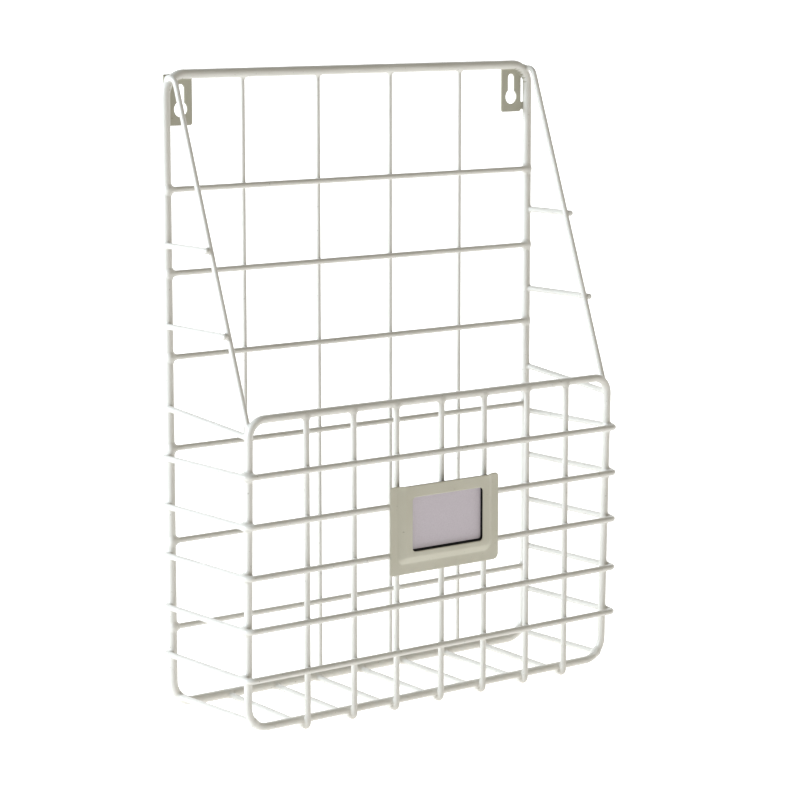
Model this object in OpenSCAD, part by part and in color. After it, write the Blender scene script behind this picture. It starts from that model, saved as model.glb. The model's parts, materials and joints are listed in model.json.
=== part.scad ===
// Wall-hung file rack: a flat wire back with a shallow open wire basket at its foot,
// two diagonal side braces, two keyhole hanger tabs and a label holder on the front.
// Millimetres. +Z is up, the front faces -Y and the wall side faces +Y.
// The origin is the centre of the rack's footprint, on the plane that it stands on.

/* [Overall size] */
// Overall height, from the feet of the basket wires to the top of the back frame
rack_h = 402.5; // [380:0.5:440]
// Height of the back frame's bottom above the feet of the basket wires
back_rise = 2.5; // [1.5:0.1:4]
// Width between the axes of the two back uprights
back_w = 291; // [280:1:300]
// Distance from the back frame's plane to the axis of the front frame's top rail
basket_depth = 84; // [75:0.5:95]
// How far the front frame's bottom rail stands back from its top rail
front_lean = 3.6; // [3:0.1:4.2]
// Height of the front frame's top rail axis above the floor
front_top_z = 197; // [190:0.5:200]

/* [Wire diameters, coating included] */
// Back frame wire
back_frame_d = 6; // [5.5:0.1:6.5]
// Front frame wire
front_frame_d = 5; // [4.5:0.1:5.5]
// Basket hoops, basket wires and side wires
basket_wire_d = 3.8; // [3.4:0.1:4]
// Horizontal wires of the back
cross_wire_d = 3.5; // [3.2:0.1:3.8]
// Vertical wires of the back
upright_wire_d = 3; // [2.8:0.1:3.2]
// Diagonal side braces
brace_d = 3.4; // [3:0.1:3.8]

/* [Bends, radius at the wire's axis] */
// Top corners of the back frame
back_top_r = 13; // [11:0.5:14]
// Bottom corners of the back frame
back_bottom_r = 15; // [13:0.5:17]
// Top corners of the front frame
front_top_r = 11; // [10:0.5:12]
// Bottom corners of the front frame
front_bottom_r = 14; // [12:0.5:16]
// Front corners of a basket hoop
hoop_r = 4.2; // [4:0.1:5]
// Foot of a basket wire, where it turns under the front frame
foot_r = 3; // [2.6:0.1:3.4]
// Top of a diagonal brace
brace_r = 6; // [4:0.5:7]

/* [Wire layout] */
// Number of vertical wires in the back
upright_wire_count = 4; // [4:1:4]
// Number of basket hoops
hoop_count = 5; // [5:1:5]
// Height of the lowest hoop
first_hoop_z = 38.5; // [34:0.5:42]
// Vertical spacing of the hoops
hoop_pitch = 31.2; // [29:0.1:32]
// Number of L-shaped basket wires
basket_wire_count = 7; // [7:1:7]
// Spacing of the basket wires
basket_pitch = 35; // [32:0.5:38]
// How far the row of basket wires is set over towards the right
basket_shift = 2.9; // [0:0.1:4]
// Depth that each weld sets one wire into the next
weld_set = 0.2; // [0.1:0.05:0.3]
// Depth that a hoop's ends are pressed into the back uprights
hoop_set = 1.6; // [1:0.1:1.8]

/* [Hanger tabs] */
// Sheet thickness of a tab
tab_t = 1.2; // [1:0.1:1.5]
// Width of a tab
tab_w = 17; // [16:0.5:18]
// Distance between the two keyholes
keyhole_spacing = 266; // [262:1:268]
// Diameter of a keyhole's round hole
keyhole_d = 9.5; // [9:0.1:10]
// Width of a keyhole's slot
keyslot_w = 5.4; // [5:0.1:5.8]
// Height of the slot's end above the round hole's centre
keyslot_rise = 12.6; // [11:0.1:13]

/* [Label holder] */
// Outside width
label_w = 88; // [84:1:96]
// Outside height
label_h = 56.5; // [54:0.5:58]
// Sheet thickness
label_t = 0.8; // [0.6:0.1:0.9]
// How far the raised face stands in front of the flanges
label_raise = 3.1; // [2.9:0.1:3.6]
// Width of the window
window_w = 57; // [52:0.5:58]
// Height of the window
window_h = 34.4; // [32:0.1:35]
// Distance of its middle from the rack's middle, towards the right
label_x = 1; // [-4:0.1:4]
// Height of the raised face above the window
window_top = 7.6; // [7:0.1:9]
// Width of the flat flange round the bezel
flange_w = 6; // [5:0.1:7]
// Width of the sloping side of the bezel
bevel_w = 4.4; // [3.5:0.1:5]

/* [Hidden] */
// Heights of the back's six horizontal wires and of the side wires, from the bottom up.
cross_wire_z = [55.5, 110.5, 169, 226, 278, 329.5];
left_side_wire_z = [194.5, 245.5, 295.5];
right_side_wire_z = [194.5, 248, 302];
// The lowest side wire falls this far on its way to the front.
side_wire_fall = 7.8;
// Welding by hand leaves the hoops (up) and the basket wires (right) a little off their pitch.
hoop_offset = [0, -0.9, 0.7, 0.8, 0];
basket_wire_offset = [-0.5, 0.5, -1, 0, 0, 1, -0.5];

coat_white = [0.93, 0.92, 0.88];
coat_cream = [0.80, 0.78, 0.70];
card_grey = [0.72, 0.69, 0.72];
backing_black = [0.05, 0.05, 0.06];

$fn = 48;

// Radii of the wires.
back_r = back_frame_d / 2;
front_r = front_frame_d / 2;
wire_r = basket_wire_d / 2;
cross_r = cross_wire_d / 2;
upright_r = upright_wire_d / 2;
brace_wire_r = brace_d / 2;

// Distance between the axes of two wires that cross and are welded together.
function lap(r1, r2) = r1 + r2 - weld_set;

// Depth stack, from the back frame's axis plane (0) forward to the label holder's face.
hoop_lap = basket_depth + lap(front_r, wire_r);
basket_lap = hoop_lap - lap(wire_r, wire_r);
label_seat = hoop_lap + wire_r - weld_set / 4;
label_face = label_seat + label_t + label_raise;
total_depth = back_r + label_face;

// Planes in Y.
back_y = total_depth / 2 - back_r;
front_y = back_y - basket_depth;
basket_wire_y = back_y - basket_lap;
hoop_y = back_y - hoop_lap;
label_seat_y = back_y - label_seat;
label_face_y = back_y - label_face;
// The vertical wires of the back lie behind the horizontal ones, just clear of the wall.
cross_wire_y = back_y - 1.6;

// Planes in X, as half widths.
back_x = back_w / 2;
hoop_x = back_x + back_r + wire_r - hoop_set;
front_x = hoop_x - lap(front_r, wire_r);
brace_x = back_x - 1.8;
side_wire_x = brace_x + lap(brace_wire_r, wire_r);

// A bend that turns by an odd angle is a hair thicker than its wire, and the straights run a
// little way into it.
swell = 0.02;
into_bend = 0.2;

// Levels in Z.
back_bottom_z = back_r + back_rise;
back_top_z = rack_h - back_r;
floor_z = wire_r + swell;
front_bottom_z = floor_z + lap(front_r, wire_r);

// The front frame turns about its top rail by this angle.
lean_angle = asin(front_lean / (front_top_z - front_bottom_z));

function front_y_at(z) =
    front_y + front_lean * (front_top_z - z) / (front_top_z - front_bottom_z);

// Path of a diagonal brace in its own upright plane, as [y, z].
brace_start = [back_y, back_top_z - 2.2];
brace_bend = [back_y - 7.7, back_top_z - 2.2];
brace_end = [front_y + 1.5, front_top_z - 7];
brace_turn = atan2(brace_bend[1] - brace_end[1], brace_bend[0] - brace_end[0]);
brace_tangent = brace_r * tan(brace_turn / 2);
brace_length = norm(brace_bend - brace_end);

function brace_y_at(z) =
    brace_bend[0] - (brace_bend[1] - z) / tan(brace_turn);

// The basket's floor rises from the feet to the back frame's bottom rail by this angle.
floor_end_z = back_bottom_z - 1.1;
foot_y = basket_wire_y + foot_r;
floor_angle = atan((floor_end_z - floor_z) / (back_y - foot_y));
floor_run = (back_y - foot_y - foot_r * sin(floor_angle)) / cos(floor_angle);

// How far a lapped wire runs past the wire that it is welded to.
lap_tail = 0.8;

// Hanger tab outline, measured from the centre of the keyhole's round hole.
keyhole_z = back_top_z - 21.5;
tab_bottom = -10;
tab_outer = tab_w / 2;
tab_y = back_y + back_r - tab_t;
ear_bottom = -8.4;
ear_top = -3.9;
// Clearance round the frame wire, where a tab is shaped to it.
tab_clear = 0.1;
upper_ear = 15.3;

// Label holder outline in X and Z.
label_bottom_z = 88.9;
label_top_z = label_bottom_z + label_h;
window_top_z = label_top_z - window_top;
window_bottom_z = window_top_z - window_h;
face_half_w = label_w / 2 - flange_w - bevel_w;
face_bottom_z = label_bottom_z + flange_w + bevel_w + 0.8;
backing_gap = 0.4;
backing_t = 0.6;
card_t = 0.4;
backing_y = label_seat_y - 0.3;
card_y = backing_y - backing_t;
// How far the bezel's sides have closed in at the front of the backing board.
bezel_close = bevel_w * (label_seat_y - card_y) / label_raise;
backing_half_w = face_half_w + bevel_w - label_t - bezel_close - backing_gap;
backing_bottom_z = face_bottom_z - bevel_w + label_t + bezel_close + backing_gap;
card_half_w = window_w / 2;
card_bottom_z = window_bottom_z + 1.1;

// ---- wire forms -------------------------------------------------------------------

// A wire along X, Y or Z from one coordinate to another.
module wire_x(r, from, to) {
    translate([from, 0, 0])
        rotate([0, 90, 0])
            cylinder(r = r, h = to - from);
}

module wire_y(r, from, to) {
    translate([0, from, 0])
        rotate([-90, 0, 0])
            cylinder(r = r, h = to - from);
}

module wire_z(r, from, to) {
    translate([0, 0, from])
        cylinder(r = r, h = to - from);
}

// A straight wire between two points.
module wire_between(r, a, b) {
    run = b - a;
    translate(a)
        rotate([0, acos(run[2] / norm(run)), atan2(run[1], run[0])])
            cylinder(r = r, h = norm(run));
}

// A bend of the given angle in the XZ plane, from +X towards +Z, about the origin.
module bend(r, bend_r, angle = 90) {
    rotate([90, 0, 0])
        rotate_extrude(angle = angle)
            translate([bend_r, 0])
                circle(r = r);
}

// One corner of a closed frame, in the +X half. end is +1 for a top corner, -1 for a bottom one.
module frame_corner(r, half_w, level, corner_r, end) {
    translate([half_w - corner_r, 0, level - end * corner_r])
        mirror([0, 0, end > 0 ? 0 : 1])
            bend(r, corner_r);
}

// A closed frame of one wire in the XZ plane, with rounded corners.
module wire_frame(r, half_w, bottom_z, top_z, bottom_r, top_r) {
    for (side = [0, 1])
        mirror([side, 0, 0]) {
            frame_corner(r, half_w, top_z, top_r, 1);
            frame_corner(r, half_w, bottom_z, bottom_r, -1);
            translate([half_w, 0, 0])
                wire_z(r, bottom_z + bottom_r, top_z - top_r);
        }
    translate([0, 0, top_z])
        wire_x(r, -(half_w - top_r), half_w - top_r);
    translate([0, 0, bottom_z])
        wire_x(r, -(half_w - bottom_r), half_w - bottom_r);
}

module on_side(side) {
    mirror([side == "left" ? 1 : 0, 0, 0])
        children();
}

// ---- frames -----------------------------------------------------------------------

module back_frame() {
    color(coat_white)
        translate([0, back_y, 0])
            wire_frame(back_r, back_x, back_bottom_z, back_top_z, back_bottom_r, back_top_r);
}

// Sets a form drawn upright in the XZ plane to the front frame's lean.
module leaning() {
    translate([0, front_y, front_top_z])
        rotate([lean_angle, 0, 0])
            translate([0, 0, -front_top_z])
                children();
}

module front_frame() {
    color(coat_white)
        leaning()
            wire_frame(front_r, front_x, front_bottom_z, front_top_z, front_bottom_r, front_top_r);
}

// The corners that the braces and the bottom side wires are fitted to, in the +X half.
module back_corner(end, clear = 0) {
    translate([0, back_y, 0])
        frame_corner(back_r + clear, back_x, end > 0 ? back_top_z : back_bottom_z,
                     end > 0 ? back_top_r : back_bottom_r, end);
}

module front_corner(end) {
    leaning()
        frame_corner(front_r, front_x, end > 0 ? front_top_z : front_bottom_z,
                     end > 0 ? front_top_r : front_bottom_r, end);
}

module back_upright_post(clear = 0) {
    translate([back_x, back_y, 0])
        wire_z(back_r + clear, back_bottom_z + back_bottom_r, back_top_z - back_top_r);
}

module front_upright_post() {
    leaning()
        translate([front_x, 0, 0])
            wire_z(front_r, front_bottom_z + front_bottom_r, front_top_z - front_top_r);
}

module back_rail(z, clear = 0) {
    half = back_x - (z == back_top_z ? back_top_r : back_bottom_r);
    translate([0, back_y, z])
        wire_x(back_r + clear, -half, half);
}

module front_top_rail() {
    translate([0, front_y, front_top_z])
        wire_x(front_r, -(front_x - front_top_r), front_x - front_top_r);
}

// ---- back panel -------------------------------------------------------------------

// A horizontal wire, its ends shaped to the uprights.
module back_cross_wire(i) {
    color(coat_white)
        difference() {
            translate([0, cross_wire_y, cross_wire_z[i - 1]])
                wire_x(cross_r, -back_x, back_x);
            back_upright_post();
            mirror([1, 0, 0])
                back_upright_post();
        }
}

// A vertical wire behind the horizontal ones, its ends shaped to the rails.
module back_upright_wire(i) {
    pitch = back_w / (upright_wire_count + 1);
    color(coat_white)
        difference() {
            translate([pitch * i - back_x, cross_wire_y + lap(cross_r, upright_r), 0])
                wire_z(upright_r, back_bottom_z, back_top_z);
            back_rail(back_bottom_z);
            back_rail(back_top_z);
        }
}

// ---- basket -----------------------------------------------------------------------

// A U-shaped hoop: from one back upright forward, across the front and back again.
module basket_hoop(i) {
    color(coat_white)
        difference() {
            translate([0, 0, first_hoop_z + (i - 1) * hoop_pitch + hoop_offset[i - 1]]) {
                for (side = ["left", "right"])
                    on_side(side) {
                        translate([hoop_x, 0, 0])
                            wire_y(wire_r, hoop_y + hoop_r, back_y + 1);
                        translate([hoop_x - hoop_r, hoop_y + hoop_r, 0])
                            rotate([0, 0, -90])
                                rotate_extrude(angle = 90)
                                    translate([hoop_r, 0])
                                        circle(r = wire_r);
                    }
                translate([0, hoop_y, 0])
                    wire_x(wire_r, -(hoop_x - hoop_r), hoop_x - hoop_r);
            }
            back_upright_post();
            mirror([1, 0, 0])
                back_upright_post();
        }
}

// An L-shaped wire: from the underside of the front frame's top rail down, tightly round the
// front of its bottom rail, and back along the floor to the back frame's bottom rail.
module basket_wire(i) {
    x = (i - (basket_wire_count + 1) / 2) * basket_pitch + basket_shift + basket_wire_offset[i - 1];
    color(coat_white)
        difference() {
            translate([x, 0, 0]) {
                translate([0, basket_wire_y, 0])
                    wire_z(wire_r, floor_z + foot_r - into_bend, front_top_z - 1);
                translate([0, foot_y, floor_z + foot_r]) {
                    mirror([0, 0, 1])
                        rotate([0, 0, -90])
                            bend(wire_r + swell, foot_r, 90 + floor_angle);
                    rotate([floor_angle, 0, 0])
                        translate([0, 0, -foot_r])
                            wire_y(wire_r, -into_bend, floor_run);
                }
            }
            front_top_rail();
            back_rail(back_bottom_z);
        }
}

// ---- sides ------------------------------------------------------------------------

// Wire 1 falls to the front frame's upright. Wires 2 and 3 lap the outside of the brace.
module side_wire(side, i) {
    z = side == "left" ? left_side_wire_z[i - 1] : right_side_wire_z[i - 1];
    back_end = back_y - 1;
    color(coat_white)
        on_side(side)
            difference() {
                if (i == 1)
                    wire_between(wire_r,
                                 [front_x, front_y, z - side_wire_fall],
                                 [side_wire_x, back_end, z]);
                else
                    translate([side_wire_x, 0, z])
                        wire_y(wire_r, brace_y_at(z) - lap_tail, back_end);
                back_upright_post();
                front_corner(1);
                front_upright_post();
            }
}

module bottom_side_wire(side) {
    front_end_z = front_bottom_z + 0.29 * front_bottom_r;
    color(coat_white)
        on_side(side)
            difference() {
                wire_between(wire_r,
                             [back_x - 0.29 * back_bottom_r, back_y, back_bottom_z + 0.29 * back_bottom_r],
                             [front_x - 0.29 * front_bottom_r, front_y_at(front_end_z), front_end_z]);
                back_corner(-1);
                front_corner(-1);
            }
}

// A brace from the back frame's top corner forward and down to the front frame's top corner.
module diagonal_brace(side) {
    color(coat_white)
        on_side(side)
            difference() {
                translate([brace_x, 0, 0]) {
                    translate([0, 0, brace_start[1]])
                        wire_y(brace_wire_r, brace_bend[0] + brace_tangent - into_bend, brace_start[0]);
                    translate([0, brace_bend[0] + brace_tangent, brace_bend[1] - brace_r])
                        rotate([0, 0, 90])
                            rotate([0, -90, 0])
                                bend(brace_wire_r + swell, brace_r, brace_turn);
                    translate([0, brace_bend[0], brace_bend[1]])
                        rotate([90 + brace_turn, 0, 0])
                            wire_z(brace_wire_r, brace_tangent - into_bend, brace_length);
                }
                back_corner(1);
                front_corner(1);
            }
}

// ---- hanger tabs ------------------------------------------------------------------

// Outline of a tab in the XZ plane about its round hole, with two ears towards the upright.
module tab_outline() {
    ear_x = back_x - keyhole_spacing / 2;
    rail_z = back_top_z - keyhole_z;
    difference() {
        union() {
            translate([-tab_outer, tab_bottom])
                square([tab_w, rail_z - tab_bottom]);
            translate([0, ear_bottom])
                square([ear_x, ear_top - ear_bottom]);
            translate([0, upper_ear])
                square([ear_x, rail_z - upper_ear]);
        }
        circle(d = keyhole_d);
        translate([0, keyslot_rise])
            circle(d = keyslot_w);
        translate([-keyslot_w / 2, 0])
            square([keyslot_w, keyslot_rise]);
    }
}

module hanger_tab(side) {
    color(coat_cream)
        on_side(side)
            difference() {
                translate([keyhole_spacing / 2, tab_y + tab_t, keyhole_z])
                    rotate([90, 0, 0])
                        linear_extrude(tab_t)
                            tab_outline();
                back_upright_post(tab_clear);
                back_rail(back_top_z, tab_clear);
                back_corner(1, tab_clear);
                translate([back_x - back_top_r, back_y - tab_w, back_top_z - back_top_r])
                    difference() {
                        cube(2 * tab_w);
                        wire_y(back_top_r, -1, 2 * tab_w + 1);
                    }
            }
}

// ---- label holder -----------------------------------------------------------------

// Rectangle with rounded corners, standing in the XZ plane and t thick towards -Y.
module plate(half_w, bottom_z, top_z, corner_r, t) {
    rotate([90, 0, 0])
        linear_extrude(t)
            for (mirror_x = [0, 1])
                mirror([mirror_x, 0])
                    union() {
                        translate([0, bottom_z + corner_r])
                            square([half_w, top_z - bottom_z - 2 * corner_r]);
                        translate([0, bottom_z])
                            square([half_w - corner_r, top_z - bottom_z]);
                        translate([half_w - corner_r, bottom_z + corner_r])
                            circle(r = corner_r);
                        translate([half_w - corner_r, top_z - corner_r])
                            circle(r = corner_r);
                    }
}

// The bezel's solid form: a flat-topped pyramid, open upwards. inset is the sheet thickness
// for the hollow inside it, and 0 for its outside.
module bezel_form(inset) {
    half_base = face_half_w + bevel_w - inset;
    half_face = face_half_w - inset;
    base_z = face_bottom_z - bevel_w + inset;
    face_z = face_bottom_z + inset;
    top = inset > 0 ? label_top_z + 1 : label_top_z;
    base_y = inset > 0 ? label_seat_y + 0.01 : label_seat_y;
    face_y = label_face_y + inset;
    polyhedron(
        points = [[-half_base, base_y, base_z], [half_base, base_y, base_z],
                  [half_base, base_y, top], [-half_base, base_y, top],
                  [-half_face, face_y, face_z], [half_face, face_y, face_z],
                  [half_face, face_y, top], [-half_face, face_y, top]],
        faces = [[0, 1, 2, 3], [7, 6, 5, 4], [4, 5, 1, 0], [5, 6, 2, 1], [6, 7, 3, 2], [7, 4, 0, 3]]);
}

module label_holder() {
    color(coat_cream)
        translate([label_x, 0, 0])
            difference() {
                union() {
                    translate([0, label_seat_y, 0])
                        plate(label_w / 2, label_bottom_z, label_top_z, 3, label_t);
                    bezel_form(0);
                }
                bezel_form(label_t);
                translate([0, label_seat_y + 1, 0])
                    plate(window_w / 2, window_bottom_z, window_top_z, 2.5, label_raise + label_t + 2);
            }
}

// The dark backing board stands in the pocket, and the paper card is fixed to its front.
module label_backing() {
    color(backing_black)
        translate([label_x, backing_y, 0])
            plate(backing_half_w, backing_bottom_z, label_top_z - 0.6, 1, backing_t);
}

module label_card() {
    color(card_grey)
        translate([label_x, card_y, 0])
            plate(card_half_w, card_bottom_z, label_top_z - 1.2, 1.5, card_t);
}

// ---- assembly ---------------------------------------------------------------------

back_frame();
front_frame();
for (i = [1:len(cross_wire_z)])
    back_cross_wire(i);
for (i = [1:upright_wire_count])
    back_upright_wire(i);
for (i = [1:hoop_count])
    basket_hoop(i);
for (i = [1:basket_wire_count])
    basket_wire(i);
for (side = ["left", "right"]) {
    for (i = [1:len(left_side_wire_z)])
        side_wire(side, i);
    bottom_side_wire(side);
    diagonal_brace(side);
    hanger_tab(side);
}
label_holder();
label_backing();
label_card();
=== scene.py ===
# Looks for the wall-hung wire file rack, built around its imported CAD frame. Metres.
import json
import math

import bmesh
import bpy
import numpy as np
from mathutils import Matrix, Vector


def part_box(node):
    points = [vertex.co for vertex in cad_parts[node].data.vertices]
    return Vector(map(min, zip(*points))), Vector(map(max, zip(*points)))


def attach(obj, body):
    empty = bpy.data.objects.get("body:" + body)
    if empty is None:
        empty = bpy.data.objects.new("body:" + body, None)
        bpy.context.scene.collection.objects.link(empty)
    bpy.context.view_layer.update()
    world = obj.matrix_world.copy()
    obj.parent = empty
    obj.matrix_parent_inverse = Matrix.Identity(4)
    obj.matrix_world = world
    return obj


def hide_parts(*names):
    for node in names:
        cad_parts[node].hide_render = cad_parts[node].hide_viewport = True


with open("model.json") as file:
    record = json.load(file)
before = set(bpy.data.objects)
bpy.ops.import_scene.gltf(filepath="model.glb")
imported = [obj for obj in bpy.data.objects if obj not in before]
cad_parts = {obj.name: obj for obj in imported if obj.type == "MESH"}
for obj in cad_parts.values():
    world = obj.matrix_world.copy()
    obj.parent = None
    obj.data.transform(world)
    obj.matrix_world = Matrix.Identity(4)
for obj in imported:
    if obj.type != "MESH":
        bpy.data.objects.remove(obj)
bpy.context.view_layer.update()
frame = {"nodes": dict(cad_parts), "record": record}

MM = 0.001


# ---- shader helpers ----------------------------------------------------------------

def new_material(name):
    material = bpy.data.materials.new(name)
    material.use_nodes = True
    tree = material.node_tree
    return material, tree, tree.nodes["Principled BSDF"]


def add_node(tree, kind, **inputs):
    node = tree.nodes.new(kind)
    for key, value in inputs.items():
        node.inputs[key.replace("_", " ")].default_value = value
    return node


def noise_factor(tree, scale, detail=3.0, roughness=0.5):
    node = add_node(tree, "ShaderNodeTexNoise", Scale=scale, Detail=detail, Roughness=roughness)
    place = tree.nodes.new("ShaderNodeTexCoord").outputs["Object"]
    tree.links.new(place, node.inputs["Vector"])
    return node.outputs["Fac"]


def ramp(tree, factor, stops):
    node = tree.nodes.new("ShaderNodeValToRGB")
    elements = node.color_ramp.elements
    while len(elements) < len(stops):
        elements.new(0.5)
    for element, (place, color) in zip(elements, stops):
        element.position = place
        element.color = (*color, 1)
    tree.links.new(factor, node.inputs["Fac"])
    return node.outputs["Color"]


def value_range(tree, factor, low, high, from_low=0.3, from_high=0.7):
    node = add_node(tree, "ShaderNodeMapRange", To_Min=low, To_Max=high,
                    From_Min=from_low, From_Max=from_high)
    tree.links.new(factor, node.inputs["Value"])
    return node.outputs["Result"]


def mix_color(tree, factor, under, over):
    node = tree.nodes.new("ShaderNodeMixRGB")
    tree.links.new(factor, node.inputs["Fac"])
    tree.links.new(under, node.inputs["Color1"])
    node.inputs["Color2"].default_value = (*over, 1)
    return node.outputs["Color"]


def bump(tree, height, distance, strength=1.0, normal=None):
    node = add_node(tree, "ShaderNodeBump", Strength=strength, Distance=distance)
    tree.links.new(height, node.inputs["Height"])
    if normal is not None:
        tree.links.new(normal, node.inputs["Normal"])
    return node.outputs["Normal"]


# ---- materials ---------------------------------------------------------------------

def powder_coat(name, pale, shaded, speck):
    """Semi-gloss powder coating: tint drift, fine specks, orange peel and grain."""
    material, tree, shader = new_material(name)
    drift = ramp(tree, noise_factor(tree, 22.0, 4.0), [(0.32, shaded), (0.60, pale)])
    specks = value_range(tree, noise_factor(tree, 620.0, 1.0), 0.0, 0.6, 0.75, 0.775)
    tree.links.new(mix_color(tree, specks, drift, speck), shader.inputs["Base Color"])
    tree.links.new(value_range(tree, noise_factor(tree, 260.0), 0.30, 0.42), shader.inputs["Roughness"])
    peel = bump(tree, noise_factor(tree, 900.0, 2.0), 0.00012, 0.5)
    grain = bump(tree, noise_factor(tree, 4200.0, 2.0), 0.00002, 0.5, peel)
    tree.links.new(grain, shader.inputs["Normal"])
    shader.inputs["Coat Weight"].default_value = 0.25
    shader.inputs["Coat Roughness"].default_value = 0.18
    shader.inputs["IOR"].default_value = 1.5
    return material


def card_paper(name):
    material, tree, shader = new_material(name)
    fibres = noise_factor(tree, 1400.0, 5.0, 0.7)
    tones = ramp(tree, fibres, [(0.35, (0.56, 0.505, 0.55)), (0.65, (0.63, 0.575, 0.62))])
    tree.links.new(tones, shader.inputs["Base Color"])
    tree.links.new(bump(tree, fibres, 0.00003, 0.6), shader.inputs["Normal"])
    shader.inputs["Roughness"].default_value = 0.85
    return material


def dark_board(name):
    material, tree, shader = new_material(name)
    fibres = noise_factor(tree, 1100.0, 5.0, 0.7)
    tones = ramp(tree, fibres, [(0.3, (0.012, 0.012, 0.014)), (0.7, (0.030, 0.030, 0.033))])
    tree.links.new(tones, shader.inputs["Base Color"])
    tree.links.new(bump(tree, fibres, 0.00004, 0.6), shader.inputs["Normal"])
    shader.inputs["Roughness"].default_value = 0.9
    return material


def dress(slot_name, material):
    """Puts a material on every CAD node of one slot of the record."""
    for part in frame["record"]["subparts"]:
        if part["material_slot"] == slot_name:
            mesh = frame["nodes"][part["node"]].data
            mesh.materials.clear()
            mesh.materials.append(material)


# Each coating's pale tone, its shaded tone and the tone of its specks.
WHITE_TONES = ((0.66, 0.64, 0.585), (0.62, 0.595, 0.54), (0.28, 0.26, 0.20))
# The sheet tones are a darker copy of the wire coat's tones. This is painted shade for the shade on the
# front-facing sheet parts; the real sheet coating is the same white as the wires'.
SHADED_SHEET_TONES = ((0.53, 0.505, 0.405), (0.49, 0.465, 0.365), (0.22, 0.20, 0.14))
# The tab tones darken the sheet tones once more. This is painted shade for the shadow that the tabs sit
# in under the top rail, not a duller coating.
SHADED_TAB_TONES = ((0.43, 0.415, 0.33), (0.39, 0.37, 0.29), (0.20, 0.18, 0.12))

WIRE_COAT = powder_coat("wire_coat", *WHITE_TONES)
SHADED_SHEET_COAT = powder_coat("shaded_sheet_coat", *SHADED_SHEET_TONES)
SHADED_TAB_COAT = powder_coat("shaded_tab_coat", *SHADED_TAB_TONES)
CARD = card_paper("card_paper")
BOARD = dark_board("dark_board")
dress("coated_wire", WIRE_COAT)
# The sheet parts get the darker copy of the wire coat: painted shade.
dress("coated_sheet", SHADED_SHEET_COAT)
dress("card", CARD)
dress("backing_board", BOARD)


# ---- where the wires run, read from the frame, in millimetres -----------------------

def mm_box(node):
    low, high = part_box(node)
    return np.array(low) / MM, np.array(high) / MM


def nodes_named(stem):
    names = [name for name in frame["nodes"] if name.startswith(stem)]
    return sorted(names)


class Wire:
    """A round wire along a line of points."""

    def __init__(self, radius, points):
        self.radius = radius
        self.points = np.array(points, float)

    def distance(self, where):
        best = np.full(where.shape[:-1], np.inf)
        for start, end in zip(self.points[:-1], self.points[1:]):
            run = end - start
            along = np.clip((where - start) @ run / (run @ run), 0, 1)
            gap = where - start - along[..., None] * run
            best = np.minimum(best, np.sqrt((gap * gap).sum(-1)))
        return best - self.radius


def arc_points(center, radius, start, end, steps=6):
    """Points [a, b] on an arc, angles in degrees."""
    angles = np.radians(np.linspace(start, end, steps + 1))
    return [(center[0] + radius * math.cos(a), center[1] + radius * math.sin(a)) for a in angles]


def loop_points(half_width, bottom, top, bottom_bend, top_bend, depth_at):
    """A closed frame's axis, from the middle of its bottom rail all the way round."""
    flat = [(0, bottom)]
    flat += arc_points((half_width - bottom_bend, bottom + bottom_bend), bottom_bend, -90, 0)
    flat += arc_points((half_width - top_bend, top - top_bend), top_bend, 0, 90)
    flat += [(-x, z) for x, z in reversed(flat)]
    return [(x, depth_at(z), z) for x, z in flat]


# Bends of the frames and hoops, at the wire's axis.
BACK_BEND_TOP = 13.0
BACK_BEND_BOTTOM = 15.0
FRONT_BEND_TOP = 11.0
FRONT_BEND_BOTTOM = 14.0
HOOP_BEND = 4.2
FOOT_BEND = 3.0
# The basket wires end this far below the axis of the back frame's bottom rail.
FLOOR_END_DROP = 1.1
FRONT_WIRE_D = 5.0

back_low, back_high = mm_box("back_frame")
BACK_R = (back_high[1] - back_low[1]) / 2
BACK_Y = back_high[1] - BACK_R
BACK_X = back_high[0] - BACK_R
BACK_TOP = back_high[2] - BACK_R
BACK_BOTTOM = back_low[2] + BACK_R

front_low, front_high = mm_box("front_frame")
FRONT_R = FRONT_WIRE_D / 2
FRONT_X = front_high[0] - FRONT_R
FRONT_TOP = front_high[2] - FRONT_R
FRONT_BOTTOM = front_low[2] + FRONT_R
FRONT_Y = front_low[1] + FRONT_R
FRONT_FOOT_Y = front_high[1] - FRONT_R


def front_y(z):
    """The front frame leans back towards its foot."""
    return FRONT_Y + (FRONT_FOOT_Y - FRONT_Y) * (FRONT_TOP - z) / (FRONT_TOP - FRONT_BOTTOM)


BACK_LOOP = Wire(BACK_R, loop_points(BACK_X, BACK_BOTTOM, BACK_TOP,
                                     BACK_BEND_BOTTOM, BACK_BEND_TOP, lambda z: BACK_Y))
FRONT_LOOP = Wire(FRONT_R, loop_points(FRONT_X, FRONT_BOTTOM, FRONT_TOP,
                                       FRONT_BEND_BOTTOM, FRONT_BEND_TOP, front_y))


def straight_along_x(node):
    low, high = mm_box(node)
    radius = (high[2] - low[2]) / 2
    y = (low[1] + high[1]) / 2
    z = (low[2] + high[2]) / 2
    return Wire(radius, [(-BACK_X, y, z), (BACK_X, y, z)])


def straight_along_z(node):
    low, high = mm_box(node)
    radius = (high[0] - low[0]) / 2
    x = (low[0] + high[0]) / 2
    y = (low[1] + high[1]) / 2
    return Wire(radius, [(x, y, BACK_BOTTOM), (x, y, BACK_TOP)])


def hoop_path(node):
    low, high = mm_box(node)
    radius = (high[2] - low[2]) / 2
    x, y, z = high[0] - radius, low[1] + radius, (low[2] + high[2]) / 2
    half = [(0, y)] + arc_points((x - HOOP_BEND, y + HOOP_BEND), HOOP_BEND, -90, 0) + [(x, high[1])]
    flat = [(-a, b) for a, b in reversed(half)] + half
    return Wire(radius, [(a, b, z) for a, b in flat])


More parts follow.
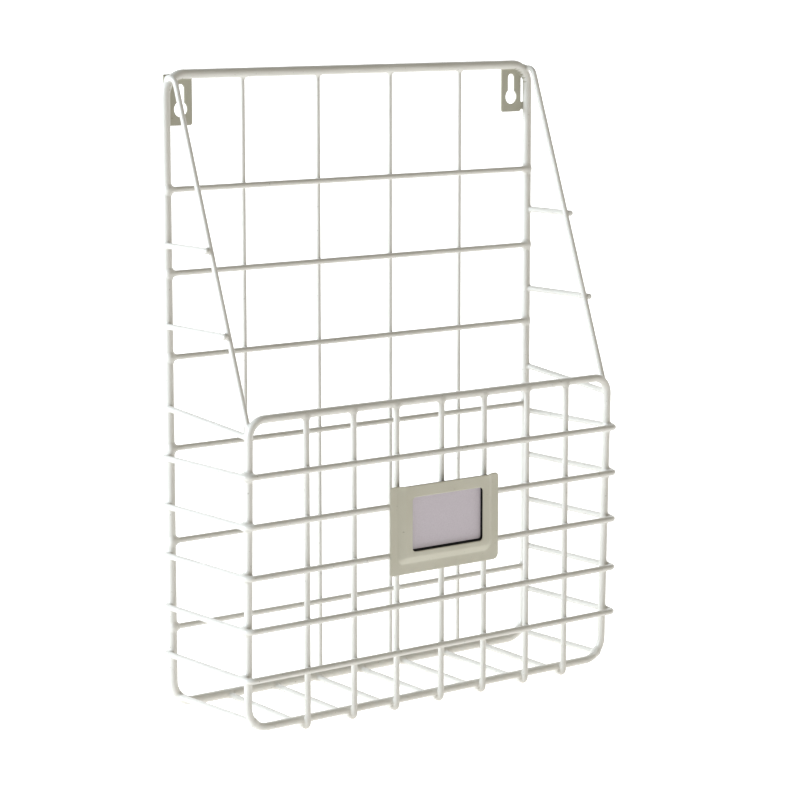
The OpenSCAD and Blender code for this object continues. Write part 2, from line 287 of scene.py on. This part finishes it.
def basket_wire_path(node):
    low, high = mm_box(node)
    radius = (high[0] - low[0]) / 2
    x, y, z = (low[0] + high[0]) / 2, low[1] + radius, low[2] + radius
    foot = arc_points((y + FOOT_BEND, z + FOOT_BEND), FOOT_BEND, 180, 270, 4)
    path = [(x, y, FRONT_TOP - FRONT_R)] + [(x, a, b) for a, b in foot]
    return Wire(radius, path + [(x, BACK_Y, BACK_BOTTOM - FLOOR_END_DROP)])


def side_wire_path(side, node):
    """Wire 1 falls to the front frame's upright, the others run level."""
    low, high = mm_box(node)
    radius = HOOPS[0].radius
    x = side * (max(abs(low[0]), abs(high[0])) - radius)
    front_x = side * FRONT_X if node.endswith("_1") else x
    return Wire(radius, [(front_x, low[1], low[2] + radius), (x, high[1], high[2] - radius)])


CROSS_WIRES = [straight_along_x(node) for node in nodes_named("back_cross_wire_")]
UPRIGHT_WIRES = [straight_along_z(node) for node in nodes_named("back_upright_wire_")]
HOOPS = [hoop_path(node) for node in nodes_named("basket_hoop_")]
BASKET_WIRES = [basket_wire_path(node) for node in nodes_named("basket_wire_")]

# A brace leaves the back frame level, bends, and ends just inside the front frame's corner.
BRACE_R = 1.7
BRACE_BEND = 6.0
BRACE_LEVEL_RUN = 7.7
BRACE_END_BEHIND = 1.5
BRACE_END_BELOW = 7.0
SIDES = (-1, 1)
# The bottom side wires end this share of a corner's bend in from its tangents.
CORNER_SHARE = 0.29


def brace_path(side):
    """Forward from the back frame's top corner, then down to the front frame's."""
    low, high = mm_box("diagonal_brace_right")
    x, top = side * (high[0] - BRACE_R), high[2] - BRACE_R
    bend_y = BACK_Y - BRACE_LEVEL_RUN
    end_y, end_z = FRONT_Y + BRACE_END_BEHIND, FRONT_TOP - BRACE_END_BELOW
    turn = math.degrees(math.atan2(top - end_z, bend_y - end_y))
    reach = BRACE_BEND * math.tan(math.radians(turn / 2))
    arc = arc_points((bend_y + reach, top - BRACE_BEND), BRACE_BEND, 90, 90 + turn)
    return Wire(BRACE_R, [(x, y, z) for y, z in [(BACK_Y, top)] + arc + [(end_y, end_z)]])


def bottom_side_path(side):
    radius = HOOPS[0].radius
    back_in, front_in = CORNER_SHARE * BACK_BEND_BOTTOM, CORNER_SHARE * FRONT_BEND_BOTTOM
    back_end = (side * (BACK_X - back_in), BACK_Y, BACK_BOTTOM + back_in)
    end_z = FRONT_BOTTOM + front_in
    return Wire(radius, [back_end, (side * (FRONT_X - front_in), front_y(end_z), end_z)])


BRACES = {side: brace_path(side) for side in SIDES}
BOTTOM_SIDES = {side: bottom_side_path(side) for side in SIDES}
SIDE_WIRES = {-1: [side_wire_path(-1, node) for node in nodes_named("side_wire_left_")],
              1: [side_wire_path(1, node) for node in nodes_named("side_wire_right_")]}


# ---- smooth closed surfaces from distance fields ------------------------------------

def smooth_min(a, b, width):
    blend = np.clip(width - np.abs(a - b), 0, None) / width
    return np.minimum(a, b) - blend * blend * width / 4


def smooth_max(a, b, width):
    return -smooth_min(-a, -b, width)


def gradient(field, where, reach=0.02):
    steps = np.eye(3) * reach
    return np.stack([field(where + s) - field(where - s) for s in steps], -1) / (2 * reach)


def surface(field, low, high, step):
    """Points and quads of the surface where the field is zero, inside a box."""
    step = np.broadcast_to(np.array(step, float), 3)
    counts = np.ceil((np.array(high) - low) / step).astype(int) + 1
    axes = [low[a] + step[a] * np.arange(counts[a]) for a in range(3)]
    grid = np.stack(np.meshgrid(*axes, indexing="ij"), -1)
    inside = field(grid) < 0
    cells = np.zeros(counts - 1, int)
    for dx in (0, 1):
        for dy in (0, 1):
            for dz in (0, 1):
                cells += inside[dx:counts[0] - 1 + dx, dy:counts[1] - 1 + dy, dz:counts[2] - 1 + dz]
    active = (cells > 0) & (cells < 8)
    number = np.full(active.shape, -1)
    number[active] = np.arange(active.sum())
    points = np.array(low) + (np.argwhere(active) + 0.5) * step
    for _ in range(4):
        slope = gradient(field, points)
        move = field(points)[:, None] * slope / np.maximum((slope * slope).sum(-1, keepdims=True), 0.1)
        points = points - np.clip(move, -0.5 * step, 0.5 * step)
    quads = []
    for axis in range(3):
        lower = inside.take(range(counts[axis] - 1), axis)
        upper = inside.take(range(1, counts[axis]), axis)
        edges = np.argwhere(lower != upper)
        b, c = (axis + 1) % 3, (axis + 2) % 3
        keep = (edges[:, b] > 0) & (edges[:, c] > 0) & \
               (edges[:, b] < counts[b] - 1) & (edges[:, c] < counts[c] - 1)
        edges = edges[keep]
        corners = []
        for back_b, back_c in ((1, 1), (0, 1), (0, 0), (1, 0)):
            cell = edges.copy()
            cell[:, b] -= back_b
            cell[:, c] -= back_c
            corners.append(number[tuple(cell.T)])
        quad = np.stack(corners, -1)
        outward = lower[tuple(edges.T)]
        quad[~outward] = quad[~outward][:, ::-1]
        quads.append(quad)
    return points, np.concatenate(quads)


def add_piece(name, surfaces, material, body="rack", replaced=()):
    """One object from several closed surfaces, in millimetres, riding on a body."""
    points, faces, start = [], [], 0
    for some_points, some_faces in surfaces:
        points.append(some_points)
        faces.append(some_faces + start)
        start += len(some_points)
    mesh = bpy.data.meshes.new(name)
    mesh.from_pydata((np.concatenate(points) * MM).tolist(), [], np.concatenate(faces).tolist())
    mesh.update()
    mesh.polygons.foreach_set("use_smooth", [True] * len(mesh.polygons))
    mesh.materials.append(material)
    piece = bpy.data.objects.new(name, mesh)
    bpy.context.scene.collection.objects.link(piece)
    if replaced:
        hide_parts(*replaced)
    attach(piece, body)
    return piece


# ---- coating that has run into the welds ---------------------------------------------

FILLET_STEP = 0.42
# The coating lies this far under the wire's own surface, and deeper at its rim.
SUNK = 0.06
SUNK_AT_RIM = 0.30

# Each kind of weld: how far it reaches from its middle, and how widely it fills the corner.
# Its middle is set off the wires' axes by a few millimetres, to where their surfaces meet.
BASKET_CROSSING = (4.6, 1.8)
HOOP_AT_FRONT = (7.5, 4.2)
HOOP_AT_BACK = (5.6, 1.6)
RAIL_WEB = (6.2, 2.8)
FOOT_AT_FRONT = (6.4, 1.6)
FOOT_AT_BACK = (5.4, 2.2)
CROSS_WIRE_END = (6.4, 3.4)
BACK_CROSSING = (4.2, 1.6)
UPRIGHT_END = (5.6, 2.6)
BRACE_TOP = (5.6, 2.0)
BRACE_FOOT = (6.6, 2.0)
SIDE_WIRE_AT_BACK = (5.2, 1.6)
SIDE_WIRE_AT_BRACE = (5.2, 1.8)
BOTTOM_CORNER = (6.5, 2.8)


def near(wire, center, reach):
    """The stretch of a wire that comes within reach of a point."""
    kept = [i for i in range(len(wire.points) - 1)
            if Wire(0, wire.points[i:i + 2]).distance(center[None])[0] < reach + wire.radius]
    return Wire(wire.radius, wire.points[kept[0]:kept[-1] + 2])


def weld(center, size, *wires):
    """The coating round one weld: flush with the wires, filled where they meet."""
    reach, width = size
    center = np.array(center, float)
    stubs = [near(wire, center, reach) for wire in wires]

    def field(where):
        value = stubs[0].distance(where)
        for stub in stubs[1:]:
            value = smooth_min(value, stub.distance(where), width)
        away = np.sqrt(((where - center) ** 2).sum(-1))
        rim = np.clip((away - 0.5 * reach) / (0.5 * reach), 0, 1)
        sunk = SUNK + (SUNK_AT_RIM - SUNK) * rim * rim
        flat = np.maximum(SUNK - where[..., 2], where[..., 1] - BACK_Y - BACK_R + SUNK)
        return np.maximum(np.maximum(value + sunk, flat), away - reach)

    room = reach + 2 * FILLET_STEP
    return surface(field, center - room, center + room, FILLET_STEP)


def basket_welds():
    for hoop in HOOPS:
        z = hoop.points[0][2]
        for wire in BASKET_WIRES:
            between = (wire.points[0][1] + hoop.points[:, 1].min()) / 2
            yield weld((wire.points[0][0], between, z), BASKET_CROSSING, hoop, wire)


def hoop_end_welds():
    for hoop in HOOPS:
        z = hoop.points[0][2]
        for side in SIDES:
            yield weld((side * (FRONT_X + 2.3), front_y(z), z), HOOP_AT_FRONT, hoop, FRONT_LOOP)
            yield weld((side * (BACK_X + 2.2), BACK_Y - 0.8, z), HOOP_AT_BACK, hoop, BACK_LOOP)


def rail_webs():
    """The webs that spread from the tops of the basket wires to the top rail."""
    for wire in BASKET_WIRES:
        x = wire.points[0][0]
        yield weld((x, FRONT_Y - 0.3, FRONT_TOP - 3.4), RAIL_WEB, wire, FRONT_LOOP)


def foot_welds():
    for wire in BASKET_WIRES:
        x = wire.points[0][0]
        yield weld((x, FRONT_FOOT_Y - 1.8, FRONT_BOTTOM - 1.8), FOOT_AT_FRONT, wire, FRONT_LOOP)
        yield weld((x, BACK_Y - 2.8, wire.points[-1][2]), FOOT_AT_BACK, wire, BACK_LOOP)


def back_welds():
    for cross in CROSS_WIRES:
        y, z = cross.points[0][1:]
        for side in SIDES:
            yield weld((side * (BACK_X - 2.8), y, z), CROSS_WIRE_END, cross, BACK_LOOP)
        for upright in UPRIGHT_WIRES:
            x, upright_y = upright.points[0][:2]
            yield weld((x, (y + upright_y) / 2, z), BACK_CROSSING, cross, upright)
    for upright in UPRIGHT_WIRES:
        x, y = upright.points[0][:2]
        for rail_z in (BACK_BOTTOM + 2.4, BACK_TOP - 2.4):
            yield weld((x, y, rail_z), UPRIGHT_END, upright, BACK_LOOP)


def side_welds():
    for side in SIDES:
        brace = BRACES[side]
        top, end = brace.points[0], brace.points[-1]
        yield weld((top[0], BACK_Y - 1, top[2] - 1), BRACE_TOP, brace, BACK_LOOP)
        lowest = SIDE_WIRES[side][0]
        corner = (side * FRONT_X, FRONT_Y + 0.8, end[2])
        yield weld(corner, BRACE_FOOT, brace, lowest, FRONT_LOOP)
        for wire in SIDE_WIRES[side]:
            x, _, z = wire.points[-1]
            yield weld((x - side * 0.6, BACK_Y - 0.5, z), SIDE_WIRE_AT_BACK, wire, BACK_LOOP)
        for wire in SIDE_WIRES[side][1:]:
            x, y, z = wire.points[0]
            yield weld((x - side * 1.7, y + 1.4, z), SIDE_WIRE_AT_BRACE, wire, brace)
        bottom = BOTTOM_SIDES[side]
        yield weld(bottom.points[0], BOTTOM_CORNER, bottom, BACK_LOOP)
        yield weld(bottom.points[-1], BOTTOM_CORNER, bottom, FRONT_LOOP)


COATED_WELDS = {
    "basket_weld_coating": basket_welds,
    "hoop_end_weld_coating": hoop_end_welds,
    "rail_web_coating": rail_webs,
    "foot_weld_coating": foot_welds,
    "back_weld_coating": back_welds,
    "side_weld_coating": side_welds,
}
for weld_name, welds in COATED_WELDS.items():
    add_piece(weld_name, list(welds()), WIRE_COAT)


# ---- pressed sheet parts --------------------------------------------------------------

def rounded_box(a, b, low, high, radii):
    """Signed distance to a rectangle. radii are those of the corners (low, low), (high, low),
    (low, high) and (high, high)."""
    middle = [(low[i] + high[i]) / 2 for i in (0, 1)]
    p, q = a - middle[0], b - middle[1]
    lower = np.where(p < 0, radii[0], radii[1])
    upper = np.where(p < 0, radii[2], radii[3])
    radius = np.where(q < 0, lower, upper)
    over_a = np.abs(p) - (high[0] - low[0]) / 2 + radius
    over_b = np.abs(q) - (high[1] - low[1]) / 2 + radius
    outside = np.hypot(np.maximum(over_a, 0), np.maximum(over_b, 0))
    return outside + np.minimum(np.maximum(over_a, over_b), 0) - radius


# The coating rounds every sheet edge by this width.
SHEET_EDGE = 0.45

# A tab's keyhole, from the rack's middle and from the axis of the back frame's top rail.
KEYHOLE_X = 133.0
KEYHOLE_DROP = 21.5


def label_holder_piece():
    """The pressed plate: flange, rounded bezel, raised face with a window, slot at the top."""
    low, high = mm_box("label_holder")
    middle_x = (low[0] + high[0]) / 2
    half = (high[0] - low[0]) / 2
    thick = 0.8
    seat, rise = high[1], high[1] - low[1] - thick
    flange, bevel, bottom_flange = 6.0, 4.4, 6.8
    window_half, window_top, window_h = 28.5, high[2] - 7.6, 34.4
    bend = 0.45

    def field(where):
        x, z = where[..., 0] - middle_x, where[..., 2]
        forward = seat - where[..., 1]
        inset = -rounded_box(x, z, (-half + flange, low[2] + bottom_flange),
                             (half - flange, high[2] + 30), (4.5, 6.5, 1, 1))

        def soft(t):
            return (np.sqrt(t * t + bend * bend) + t) / 2

        slope = rise / bevel
        height = slope * (soft(inset) - soft(inset - bevel))
        lean = slope / 2 * (inset / np.sqrt(inset ** 2 + bend ** 2)
                            - (inset - bevel) / np.sqrt((inset - bevel) ** 2 + bend ** 2))
        sheet = np.abs(forward - height - thick / 2) / np.sqrt(1 + lean * lean) - thick / 2
        outline = rounded_box(x, z, (-half, low[2]), (half, high[2]), (1.8, 4.0, 1.8, 2.8))
        window = rounded_box(x, z, (-window_half, window_top - window_h),
                             (window_half, window_top), 4 * (2.5,))
        return smooth_max(smooth_max(sheet, outline, SHEET_EDGE), -window, SHEET_EDGE)

    form = surface(field, low - 1.0, high + 1.0, (0.40, 0.24, 0.40))
    # The plate carries the darker copy of the wire coat: painted shade for its shaded front.
    return add_piece("label_holder_sheet", [form], SHADED_SHEET_COAT,
                     replaced=("label_holder",))


def hanger_tab_piece(side, node):
    """A tab with a keyhole and two ears, its edges rounded by the coating, welded to the frame."""
    middle_x = side * KEYHOLE_X
    hole_z = BACK_TOP - KEYHOLE_DROP
    width, thick = 17.0, 1.2
    plane = BACK_Y + BACK_R - thick / 2
    hole_r, slot_r, slot_rise = 4.75, 2.7, 12.6
    ear = BACK_X - KEYHOLE_X
    tab_bottom, upper_ear_z = -10.0, 15.3
    ear_bottom, ear_top = -8.4, -3.9
    form_half_w, form_middle_z, form_half_h = 13.5, 5.8, 17.4
    run_in, ear_corner = 1.2, 0.5

    def field(where):
        x = side * (where[..., 0] - middle_x)
        z = where[..., 2] - hole_z
        top = BACK_TOP - hole_z
        sheet = np.abs(where[..., 1] - plane) - thick / 2
        body = rounded_box(x, z, (-width / 2, tab_bottom), (width / 2, top), (1.6, 1.6, 2.5, 0.5))
        lower_ear = rounded_box(x, z, (0, ear_bottom), (ear, ear_top), 4 * (ear_corner,))
        upper_ear = rounded_box(x, z, (0, upper_ear_z), (ear, top), 4 * (ear_corner,))
        outline = smooth_min(smooth_min(body, lower_ear, run_in), upper_ear, run_in)
        slot_line = np.hypot(x, z - np.clip(z, 0, slot_rise))
        keyhole = np.minimum(np.hypot(x, z) - hole_r, slot_line - slot_r)
        tab = smooth_max(smooth_max(sheet, outline, SHEET_EDGE), -keyhole, SHEET_EDGE)
        joined = smooth_min(tab, BACK_LOOP.distance(where) + SUNK, run_in)
        beside = np.abs(where[..., 0] - middle_x) - form_half_w
        sides = np.maximum(beside, np.abs(z - form_middle_z) - form_half_h)
        return np.maximum(joined, np.maximum(sides, where[..., 1] - BACK_Y - BACK_R))

    middle = np.array([middle_x, BACK_Y, hole_z + form_middle_z])
    room = np.array([form_half_w, BACK_R, form_half_h]) + 1.0
    form = surface(field, middle - room, middle + room, (0.36, 0.3, 0.36))
    # The tab carries the darkest copy of the coat: painted shade for the shadow under the top rail.
    return add_piece(f"{node}_sheet", [form], SHADED_TAB_COAT, replaced=(node,))


label_holder_piece()
hanger_tab_piece(-1, "hanger_tab_left")
hanger_tab_piece(1, "hanger_tab_right")


# ---- stage -------------------------------------------------------------------------

VIEW_YAW = -38.3
VIEW_TILT = 81.0
CAMERA_PLACE = (-1.0663, -1.3508, 0.4633)
LENS = 122.69
STUDIO_MIDDLE = (0, 0, 0.2)


def stage_floor():
    """A pale floor that curves up into the backdrop."""
    mesh = bpy.data.meshes.new("floor")
    form = bmesh.new()
    half, rise, radius, far = 3.0, 3.0, 0.8, 1.9
    profile = [(-half, 0.0), (far - radius, 0.0)]
    for step in range(1, 17):
        angle = step / 16 * math.pi / 2
        profile.append((far - radius + radius * math.sin(angle), radius * (1 - math.cos(angle))))
    profile.append((far, rise))
    rows = [[form.verts.new((side * half * 1.6, y, z)) for y, z in profile] for side in SIDES]
    for i in range(len(profile) - 1):
        form.faces.new((rows[0][i], rows[1][i], rows[1][i + 1], rows[0][i + 1]))
    form.to_mesh(mesh)
    form.free()
    mesh.polygons.foreach_set("use_smooth", [True] * len(mesh.polygons))
    floor = bpy.data.objects.new("floor", mesh)
    bpy.context.scene.collection.objects.link(floor)
    floor.rotation_euler = (0, 0, math.radians(VIEW_YAW))
    material, tree, shader = new_material("floor_white")
    shader.inputs["Base Color"].default_value = (0.8, 0.8, 0.8, 1)
    shader.inputs["Roughness"].default_value = 0.9
    shader.inputs["Emission Color"].default_value = (1, 1, 1, 1)
    shader.inputs["Emission Strength"].default_value = 0.78
    mesh.materials.append(material)


def area_light(name, place, size, power, color):
    """A square light that faces the rack."""
    light = bpy.data.lights.new(name, "AREA")
    light.shape = "SQUARE"
    light.size = size
    light.energy = power
    light.color = color
    lamp = bpy.data.objects.new(name, light)
    bpy.context.scene.collection.objects.link(lamp)
    aim = Vector(STUDIO_MIDDLE) - Vector(place)
    lamp.location = place
    lamp.rotation_euler = aim.to_track_quat("-Z", "Y").to_euler()


def light_scene():
    area_light("key", (-2.4, 0.7, 1.0), 1.3, 86, (0.79, 0.885, 1.0))
    area_light("fill", (0.6, -2.4, 1.0), 2.0, 3, (1.0, 0.87, 0.64))
    world = bpy.data.worlds.new("studio")
    bpy.context.scene.world = world
    world.use_nodes = True
    background = world.node_tree.nodes["Background"]
    background.inputs["Color"].default_value = (1.0, 0.955, 0.80, 1)
    background.inputs["Strength"].default_value = 0.215


def add_camera():
    data = bpy.data.cameras.new("camera")
    data.lens = LENS
    data.sensor_width = 36
    data.clip_end = 50
    camera = bpy.data.objects.new("camera", data)
    bpy.context.scene.collection.objects.link(camera)
    camera.location = CAMERA_PLACE
    camera.rotation_euler = (math.radians(VIEW_TILT), 0, math.radians(VIEW_YAW))
    bpy.context.scene.camera = camera


add_camera()
stage_floor()
light_scene()
bpy.context.scene.view_settings.view_transform = "Standard"
